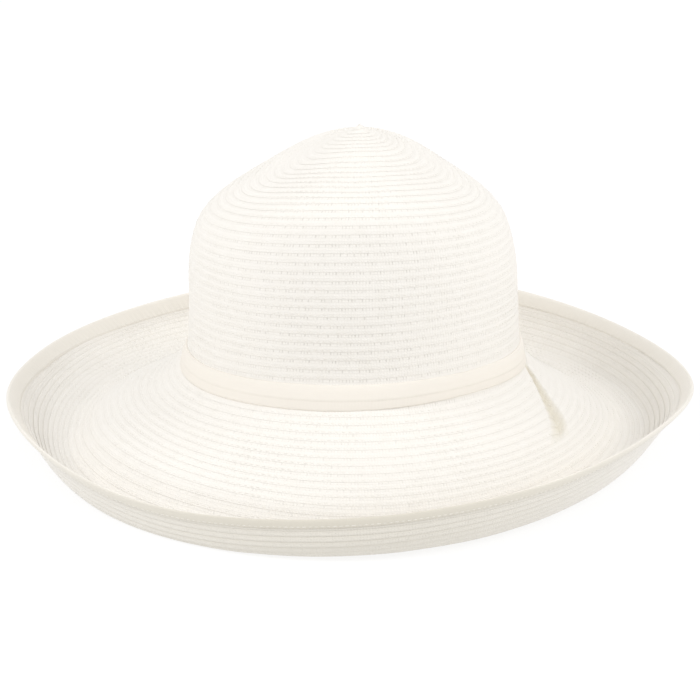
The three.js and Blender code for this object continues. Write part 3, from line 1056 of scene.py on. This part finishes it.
def cloth_material(name, light, deep, pitches, width, under_painted_shade_share, under_painted_shade_colour):
    """Close-woven cloth, with painted shade on its underside."""
    made, build, shader = new_material(name, CLOTH_ROUGHNESS, CLOTH_SHEEN)
    weave = build.add("ShaderNodeGroup", node_tree=bpy.data.node_groups["Close Weave"])
    weave.inputs["Warp Pitch"].default_value = pitches[0]
    weave.inputs["Weft Pitch"].default_value = pitches[1]
    weave.inputs["Strip Width"].default_value = width
    tone = build.mix(weave.outputs["Tone"], tuple(light), tuple(deep))
    tone = build.mix(under_painted_shade_factor(build, under_painted_shade_share), tone, tuple(under_painted_shade_colour))
    build.feed(shader.inputs["Base Color"], tone)
    bump = build.add("ShaderNodeBump", {"Height": weave.outputs["Height"], **CLOTH_RELIEF})
    build.feed(shader.inputs["Normal"], bump.outputs[0])
    return made


def thread_material(name, colour):
    """Sewing thread with a fine grain."""
    made, build, shader = new_material(name, THREAD_ROUGHNESS, 0.0)
    grain = build.add("ShaderNodeTexNoise", {"Scale": THREAD_GRAINS_PER_METRE, "Detail": 1.0})
    place = build.add("ShaderNodeTexCoord")
    build.feed(grain.inputs["Vector"], place.outputs["Object"])
    darker = tuple(channel * THREAD_DARKENING for channel in colour[:3]) + (1.0,)
    build.feed(shader.inputs["Base Color"], build.mix(grain.outputs[0], tuple(colour), darker))
    return made


def ensure_groups():
    """Makes each shared node group once."""
    for name, maker in (
        ("Plaited Weave", plait_group),
        ("Close Weave", cloth_group),
        ("Strip Along Path", strip_tree),
        ("Run Of Stitches", stitch_tree),
    ):
        if name not in bpy.data.node_groups:
            maker()


def colour_property(name, description, default):
    return bpy.props.FloatVectorProperty(
        name=name, description=description, default=default, size=4, subtype="COLOR", min=0, max=1
    )


def length_property(name, description, default):
    return bpy.props.FloatProperty(
        name=name, description=description, default=default, unit="LENGTH", precision=5, min=0
    )


def share_property(name, description, default):
    return bpy.props.FloatProperty(name=name, description=description, default=default)


class SunHatBraidSizes(bpy.types.PropertyGroup):
    """Sizes and colours of the sewn braid"""

    unevenness: length_property("Unevenness", "How far the braid waves in and out", 0.0006)
    rib_pitch: length_property("Rib pitch", "Distance between the ribs of the plait", 0.0015)
    hole_pitch: length_property("Hole pitch", "Distance between the small gaps of the plait", 0.0017)
    stitch_pitch: length_property("Stitch pitch", "Distance between stitches", 0.0034)
    stitch_length: length_property("Stitch length", "Length of one stitch", 0.0022)
    # These shades are painted shade mixed into the straw's colour: beside the laps, on the underside,
    # in the gaps and in the folded dent
    lap_painted_shade: share_property("Lap shade", "How much deeper the laps are in colour", 0.13)
    under_painted_shade_share: share_property("Under shade", "How much deeper the underside is in colour", 0.54)
    hole_painted_shade: share_property("Hole shade", "How dark the gaps of the plait are", 0.28)
    fold_painted_shade: share_property("Fold shade", "How much deeper the fold of the brim is", 0.40)
    straw_light: colour_property("Light straw", "Lightest tone of the braid", (0.90, 0.872, 0.828, 1))
    straw_deep: colour_property("Deep straw", "Deepest tone of the braid", (0.87, 0.838, 0.784, 1))
    # Colours that the painted shade mixes towards
    painted_shade_colour: colour_property("Lap tone", "Tone beside the lap of two rows", (0.66, 0.62, 0.53, 1))
    fold_painted_shade_colour: colour_property("Fold tone", "Tone at the bottom of the fold", (0.66, 0.59, 0.40, 1))
    hole_painted_shade_colour: colour_property("Hole tone", "Tone in the gaps of the plait", (0.36, 0.33, 0.27, 1))
    thread: colour_property("Thread", "Tone of the sewing thread", (0.90, 0.87, 0.81, 1))


class SunHatTrimSizes(bpy.types.PropertyGroup):
    """Sizes and colours of the band and the binding"""

    band_light: colour_property("Light band", "Lightest tone of the band", (0.885, 0.84, 0.77, 1))
    band_deep: colour_property("Deep band", "Deepest tone of the band", (0.855, 0.805, 0.73, 1))
    binding_light: colour_property("Light binding", "Lightest binding tone", (0.85, 0.815, 0.755, 1))
    binding_deep: colour_property("Deep binding", "Deepest binding tone", (0.825, 0.79, 0.725, 1))
    # Painted shade on the binding's underside
    binding_under_painted_shade: share_property("Binding under shade", "How much deeper its underside is", 0.82)
    pucker: length_property("Pucker", "Depth of the puckers along the binding's stitches", 0.00012)
    stitch_pitch: length_property("Stitch pitch", "Distance between the binding's stitches", 0.0030)


class SunHatStageSizes(bpy.types.PropertyGroup):
    """Camera: where it stands and looks, and its lens"""

    distance: length_property("Distance", "From the camera to the middle of the hat", 2.2)
    elevation: bpy.props.FloatProperty(
        name="Elevation", description="Camera above the horizon", default=math.radians(20.25),
        subtype="ANGLE",
    )
    target_x: length_property("Target X", "Point looked at, sideways", 0.0005)
    target_z: length_property("Target height", "Point looked at, above the floor", 0.045)
    lens: bpy.props.FloatProperty(
        name="Lens", description="Focal length", default=217.66, unit="CAMERA"
    )


class SUNHAT_OT_sew_braid(bpy.types.Operator):
    """Sews the crown and the brim from one spiral of braid"""

    bl_idname = "sun_hat.sew_braid"
    bl_label = "Sew Braid"

    def execute(self, context):
        ensure_groups()
        sizes = context.scene.sun_hat_braid
        straw = braid_material("Straw braid", sizes)
        thread = thread_material("Sewing thread", sizes.thread)
        parts = (
            ("crown", BRAID_FIRST_TURN, BRAID_JOIN_TURN),
            ("brim", BRAID_JOIN_TURN, BRAID_LAST_TURN),
        )
        for node_name, first, last in parts:
            path = braid_path(first, last)
            section = section_object("braid_section", BRAID_SECTION)
            source = polyline(node_name + "_path", path["inner_edge"], path)
            values = {
                "Section": section,
                "Unevenness": sizes.unevenness,
                "Lowest": 0.0,
                "Material": straw,
            }
            run_tree(
                bpy.data.node_groups["Strip Along Path"], source, node_name + "_braid", values,
                [node_name],
            )
            bpy.data.objects.remove(section)
            points, up = braid_stitch_path(path)
            line = polyline(node_name + "_stitch_line", points, {"up": up})
            values = {
                "Pitch": sizes.stitch_pitch,
                "Length": sizes.stitch_length,
                "Material": thread,
            }
            run_tree(
                bpy.data.node_groups["Run Of Stitches"], line, node_name + "_stitches", values,
            )
        return {"FINISHED"}


class SUNHAT_OT_wrap_band(bpy.types.Operator):
    """Wraps the plain band round the foot of the crown"""

    bl_idname = "sun_hat.wrap_band"
    bl_label = "Wrap Band"

    def execute(self, context):
        ensure_groups()
        sizes = context.scene.sun_hat_trim
        end = 360.0 + BAND_OVERLAP_DEGREES + BAND_STEP_DEGREES / 2.0
        degrees = np.arange(0.0, end, BAND_STEP_DEGREES) + BAND_JOIN_DEGREES
        off = (degrees - BAND_LIFT_TOWARD + 540.0) % 360.0 - 180.0
        lifted = 1.0 - smooth_step(np.abs(off) / BAND_LIFT_SPREAD)
        top_rows = BAND_ROWS[0] + BAND_LIFTS[0] * lifted
        foot_rows = BAND_ROWS[1] + BAND_LIFTS[1] * lifted
        inner_up = face_directions(top_rows, degrees)[1]
        outer_up = face_directions(foot_rows, degrees)[1]
        past_join = degrees - BAND_JOIN_DEGREES - 360.0 + BAND_OVERLAP_DEGREES
        proud = smooth_step(past_join / BAND_OVERLAP_DEGREES)[:, None] * BAND_OVERLAP_LIFT * MM
        top = face_points(top_rows, degrees) + inner_up * proud
        foot = face_points(foot_rows, degrees) + outer_up * proud
        steps = np.linalg.norm(np.diff((top + foot) / 2.0, axis=0), axis=1)
        path = {
            "inner_edge": top,
            "across": foot - top,
            "inner_up": inner_up,
            "outer_up": outer_up,
            "run": np.concatenate([[0.0], np.cumsum(steps)]),
            "step": np.ones(len(degrees)),
        }
        width = float(np.linalg.norm(foot - top, axis=1).mean())
        cloth = cloth_material(
            "Band cloth", sizes.band_light, sizes.band_deep, BAND_PITCHES, width, 0.0,
            sizes.band_deep,
        )
        section = section_object("band_section", BAND_SECTION)
        source = polyline("band_path", top, path)
        values = {
            "Section": section,
            "Unevenness": BAND_UNEVENNESS,
            "Lowest": 0.0,
            "Material": cloth,
        }
        band = run_tree(
            bpy.data.node_groups["Strip Along Path"], source, "hat_band_ribbon", values,
            ["hat_band"],
        )
        bpy.data.objects.remove(section)
        return {"FINISHED"}


class SUNHAT_OT_fold_binding(bpy.types.Operator):
    """Folds the plain strip over the rim and stitches it"""

    bl_idname = "sun_hat.fold_binding"
    bl_label = "Fold Binding"

    def execute(self, context):
        ensure_groups()
        braid = context.scene.sun_hat_braid
        sizes = context.scene.sun_hat_trim
        degrees = np.arange(BINDING_STEPS) * 360.0 / BINDING_STEPS
        row_width = rim_row_width(degrees)
        rim = face_points(np.full(BINDING_STEPS, float(RIM_ROW)), degrees)
        steps = np.linalg.norm(np.roll(rim, -1, axis=0) - rim, axis=1)
        length = float(steps.sum())
        run = np.concatenate([[0.0], np.cumsum(steps)[:-1]])
        stitches = round(length / sizes.stitch_pitch)
        pucker = np.cos(run / length * stitches * math.tau) * sizes.pucker / MM
        swing = np.cos(np.radians(degrees - BINDING_WIDEST_DEGREES)) * BINDING_WIDTH_SWING
        waves = np.sin(np.radians(degrees * BINDING_WANDER["waves"]))
        wander = 1.0 + swing + BINDING_WANDER["size"] * waves
        rings = []
        for back, off, on in BINDING_SECTION:
            rows = RIM_ROW - back * wander / row_width
            onwards, up = face_directions(rows, degrees)
            off_stitches = (back - BINDING_PUCKER["back"]) / BINDING_PUCKER["spread"]
            drawn = pucker * np.exp(-(off_stitches**2)) * math.copysign(1.0, off)
            lift = (off + drawn)[:, None] * MM
            rings.append(face_points(rows, degrees) + up * lift + onwards * on * MM)
        widths = [0.0]
        for first, second in zip(rings, rings[1:]):
            widths.append(widths[-1] + float(np.linalg.norm(second[0] - first[0])))
        piece = loft("edge_binding_strip", rings, run, length, widths)
        cloth = cloth_material(
            "Binding cloth", sizes.binding_light, sizes.binding_deep, BINDING_PITCHES, 1.0,
            sizes.binding_under_painted_shade, braid.painted_shade_colour,
        )
        under = np.array([off < BINDING_UNDERSIDE for _, off, _ in BINDING_SECTION], float)
        # Which points are on the underside, and how deep their painted shade is, deepest at the front
        marks = {
            "under": np.repeat(under, BINDING_STEPS),
            "under_painted_shade_weight": np.tile(under_painted_shade_depth(degrees), len(BINDING_SECTION)),
        }
        keep_marks(piece.data, marks)
        piece.data.materials.append(cloth)
        settle_piece(piece, ["edge_binding"])
        thread = thread_material("Binding thread", braid.thread)
        every = slice(None, None, BINDING_STITCH_STEP)
        for face in ("inside", "outside"):
            turn = np.append(degrees[every], BINDING_STITCH_END_DEGREES)
            wide = np.append(wander[every], wander[0])
            row_step = np.append(row_width[every], row_width[0])
            rows = RIM_ROW - BINDING_STITCH_BACK[face] * wide / row_step
            up = face_directions(rows, turn)[1]
            points = face_points(rows, turn) + up * BINDING_STITCH_LIFT[face] * MM
            line = polyline(f"binding_{face}_line", points, {"up": up})
            values = {"Pitch": length / stitches, "Material": thread}
            run_tree(
                bpy.data.node_groups["Run Of Stitches"], line, f"binding_stitches_{face}", values,
            )
        return {"FINISHED"}


def loft(name, rings, run, length, widths):
    """A closed tube through rings of points, mapped by its length and the way round it."""
    count = len(run)
    points = np.concatenate(rings)
    faces = []
    marks = []
    ring_count = len(rings)
    for k in range(ring_count):
        following = (k + 1) % ring_count
        first, second = widths[k], widths[following] if following else widths[k]
        for i in range(count):
            j = (i + 1) % count
            near, far = run[i], run[j] if j else length
            here, beyond = k * count, following * count
            faces.append((here + i, beyond + i, beyond + j, here + j))
            marks.extend((near, first, near, second, far, second, far, first))
    mesh = bpy.data.meshes.new(name)
    mesh.from_pydata(points.tolist(), [], faces)
    mesh.uv_layers.new(name="UVMap").data.foreach_set("uv", np.array(marks, np.float32))
    mesh.shade_smooth()
    piece = bpy.data.objects.new(name, mesh)
    bpy.context.scene.collection.objects.link(piece)
    return piece


def soft_light(name, place, target, size, power):
    """A square soft light aimed at a point."""
    data = bpy.data.lights.new(name, "AREA")
    data.shape = "SQUARE"
    data.size = size
    data.energy = power
    lamp = bpy.data.objects.new(name, data)
    lamp.location = place
    lamp.rotation_mode = "QUATERNION"
    lamp.rotation_quaternion = (Vector(target) - Vector(place)).to_track_quat("-Z", "Y")
    bpy.context.scene.collection.objects.link(lamp)


class SUNHAT_OT_set_stage(bpy.types.Operator):
    """Sets the pale floor, the soft light and the camera"""

    bl_idname = "sun_hat.set_stage"
    bl_label = "Set Stage"

    def execute(self, context):
        scene = context.scene
        sizes = scene.sun_hat_stage
        floor_mesh = bpy.data.meshes.new("floor")
        half = FLOOR_HALF_WIDTH
        floor_mesh.from_pydata(
            [(-half, -half, 0.0), (half, -half, 0.0), (half, half, 0.0), (-half, half, 0.0)],
            [],
            [(0, 1, 2, 3)],
        )
        floor = bpy.data.objects.new("floor", floor_mesh)
        scene.collection.objects.link(floor)
        paper, _, shader = new_material("Pale floor", FLOOR_ROUGHNESS, 0.0)
        shader.inputs["Base Color"].default_value = (FLOOR_TONE, FLOOR_TONE, FLOOR_TONE, 1)
        shader.inputs["Specular IOR Level"].default_value = 0.0
        shader.inputs["Emission Color"].default_value = (1, 1, 1, 1)
        shader.inputs["Emission Strength"].default_value = FLOOR_GLOW
        floor_mesh.materials.append(paper)
        target = Vector((sizes.target_x, 0.0, sizes.target_z))
        back = Vector((0.0, -math.cos(sizes.elevation), math.sin(sizes.elevation)))
        camera_data = bpy.data.cameras.new("camera")
        camera_data.lens = sizes.lens
        camera_data.sensor_width = SENSOR_WIDTH
        camera_data.clip_end = CAMERA_REACH
        camera = bpy.data.objects.new("camera", camera_data)
        camera.location = target + back * sizes.distance
        camera.rotation_mode = "QUATERNION"
        camera.rotation_quaternion = (-back).to_track_quat("-Z", "Y")
        scene.collection.objects.link(camera)
        scene.camera = camera
        world = bpy.data.worlds.new("Studio")
        world.use_nodes = True
        background = world.node_tree.nodes["Background"]
        background.inputs["Color"].default_value = (1, 1, 1, 1)
        background.inputs["Strength"].default_value = SURROUND_STRENGTH
        scene.world = world
        for name, place, width, power in LIGHTS:
            soft_light(name, place, target, width, power)
        scene.view_settings.view_transform = "Standard"
        return {"FINISHED"}


class SUNHAT_PT_panel(bpy.types.Panel):
    """Lists the steps that build the hat"""

    bl_idname = "SUNHAT_PT_panel"
    bl_label = "Sun Hat"
    bl_space_type = "VIEW_3D"
    bl_region_type = "UI"
    bl_category = "Sun Hat"

    def draw(self, context):
        layout = self.layout
        for settings in (
            context.scene.sun_hat_braid,
            context.scene.sun_hat_trim,
            context.scene.sun_hat_stage,
        ):
            column = layout.column()
            for key in settings.__annotations__:
                column.prop(settings, key)
        for operator in OPERATORS:
            layout.operator(operator.bl_idname)


OPERATORS = (
    SUNHAT_OT_set_stage,
    SUNHAT_OT_sew_braid,
    SUNHAT_OT_wrap_band,
    SUNHAT_OT_fold_binding,
)
CLASSES = (SunHatBraidSizes, SunHatTrimSizes, SunHatStageSizes, *OPERATORS, SUNHAT_PT_panel)


def register():
    for item in CLASSES:
        bpy.utils.register_class(item)
    scene_type = bpy.types.Scene
    scene_type.sun_hat_braid = bpy.props.PointerProperty(type=SunHatBraidSizes)
    scene_type.sun_hat_trim = bpy.props.PointerProperty(type=SunHatTrimSizes)
    scene_type.sun_hat_stage = bpy.props.PointerProperty(type=SunHatStageSizes)


def unregister():
    scene_type = bpy.types.Scene
    del scene_type.sun_hat_braid
    del scene_type.sun_hat_trim
    del scene_type.sun_hat_stage
    for item in reversed(CLASSES):
        bpy.utils.unregister_class(item)


def main():
    register()
    bpy.ops.sun_hat.set_stage()
    bpy.ops.sun_hat.sew_braid()
    bpy.ops.sun_hat.wrap_band()
    bpy.ops.sun_hat.fold_binding()


if __name__ == "__main__":
    main()
